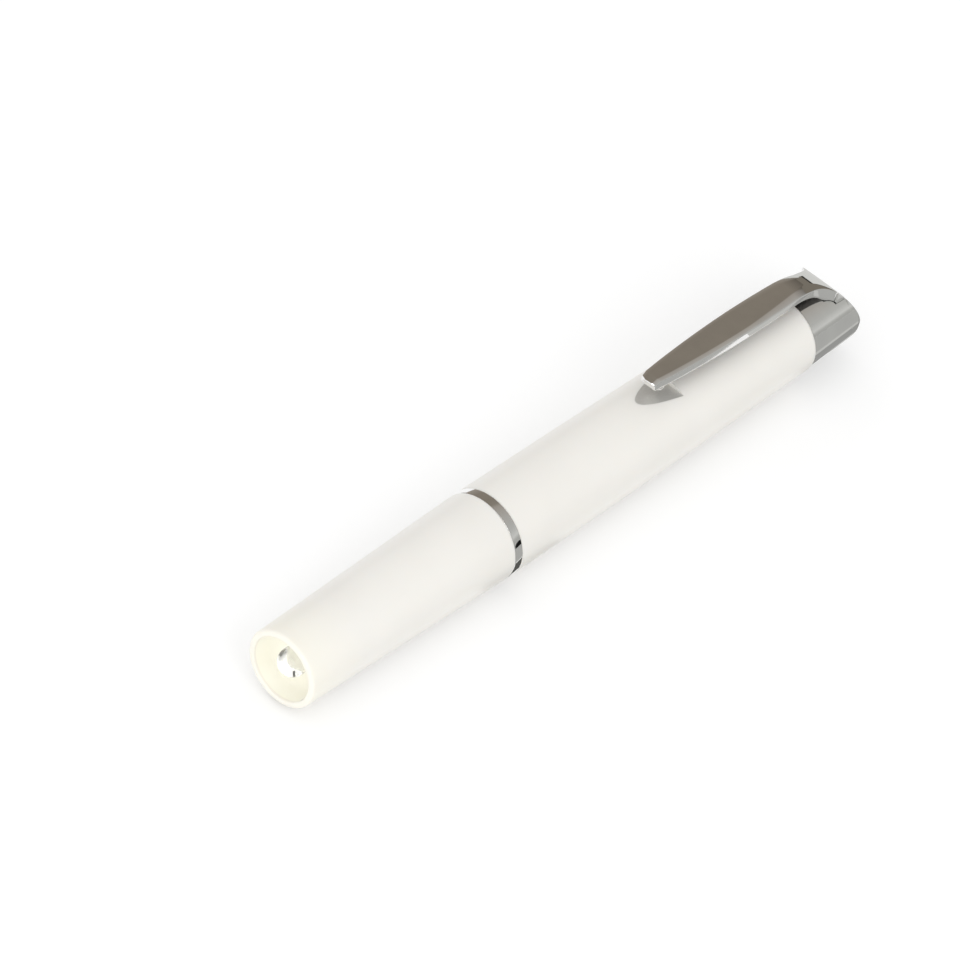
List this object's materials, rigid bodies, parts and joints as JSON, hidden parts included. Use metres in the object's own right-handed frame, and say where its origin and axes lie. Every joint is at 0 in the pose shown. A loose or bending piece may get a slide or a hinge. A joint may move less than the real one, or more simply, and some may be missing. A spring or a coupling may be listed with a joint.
{
  "type": "penlight",
  "caption": "Slim tapered penlight with a lamp in a recessed dish, a trim ring, a bright tail cap and a pocket clip that is pressed onto a contact to light it.",
  "frame": {"origin": "centre of the rim's flat face at the lamp end, on the pen's axis", "axes": "+X along the pen from the lamp end to the tail cap, +Z towards the pocket clip"},
  "size_m": [0.135, 0.016, 0.0202],
  "materials": {
    "white_shell": "moulded, soft gloss",
    "bright_plate": "bright plated",
    "dish_cream": "smooth cream moulding",
    "lamp_clear": "clear",
    "lamp_legs": "tinned",
    "holder_black": "moulded",
    "board_green": "solder resist",
    "brass": "drawn",
    "spring_steel": "wire",
    "carrier_metal": "turned",
    "cell_can": "plated can",
    "cell_jacket": "shrink film",
    "cell_seal": "moulded",
    "cell_base": "plated"
  },
  "bodies": {
    "barrel": {"barrel_shell": "white_shell", "barrel_liner": "brass", "thread_spigot": "brass", "contact_pad": "bright_plate", "tail_cap": "bright_plate", "clip_carrier": "carrier_metal", "clip_pin": "spring_steel", "tail_spring": "spring_steel", "front_cell_can": "cell_can", "front_cell_jacket": "cell_jacket", "front_cell_seal": "cell_seal", "front_cell_base": "cell_base", "rear_cell_can": "cell_can", "rear_cell_jacket": "cell_jacket", "rear_cell_seal": "cell_seal", "rear_cell_base": "cell_base"},
    "clip": {"clip": "bright_plate", "clip_ball": "bright_plate"},
    "trim_ring": {"trim_ring": "bright_plate"},
    "nose": {"nose_shell": "white_shell", "lamp_dish": "dish_cream", "lamp_dome": "lamp_clear", "lamp_frame": "lamp_legs", "lamp_holder": "holder_black", "lamp_board": "board_green", "lamp_contact": "brass", "lamp_spring": "spring_steel", "nose_liner": "brass"}
  },
  "joints": [
    {"name": "clip_flex", "type": "hinge", "parent": "barrel", "child": "clip", "pos_m": [0.13088, 0, 0.0026], "axis": [0, 1, 0], "range_deg": [-1, 4], "stiffness_Nm_per_rad": 9},
    {"name": "head_advance", "type": "slide", "parent": "barrel", "child": "trim_ring", "axis": [-1, 0, 0], "range_m": [0, 0.0055]},
    {"name": "head_turn", "type": "hinge", "parent": "trim_ring", "child": "nose", "pos_m": [0.0467, 0, 0], "axis": [-1, 0, 0], "range_deg": [0, 1980]}
  ],
  "couplings": [
    {"joint": "head_turn", "follows": "head_advance", "rad_per_m": 6283.2}
  ]
}
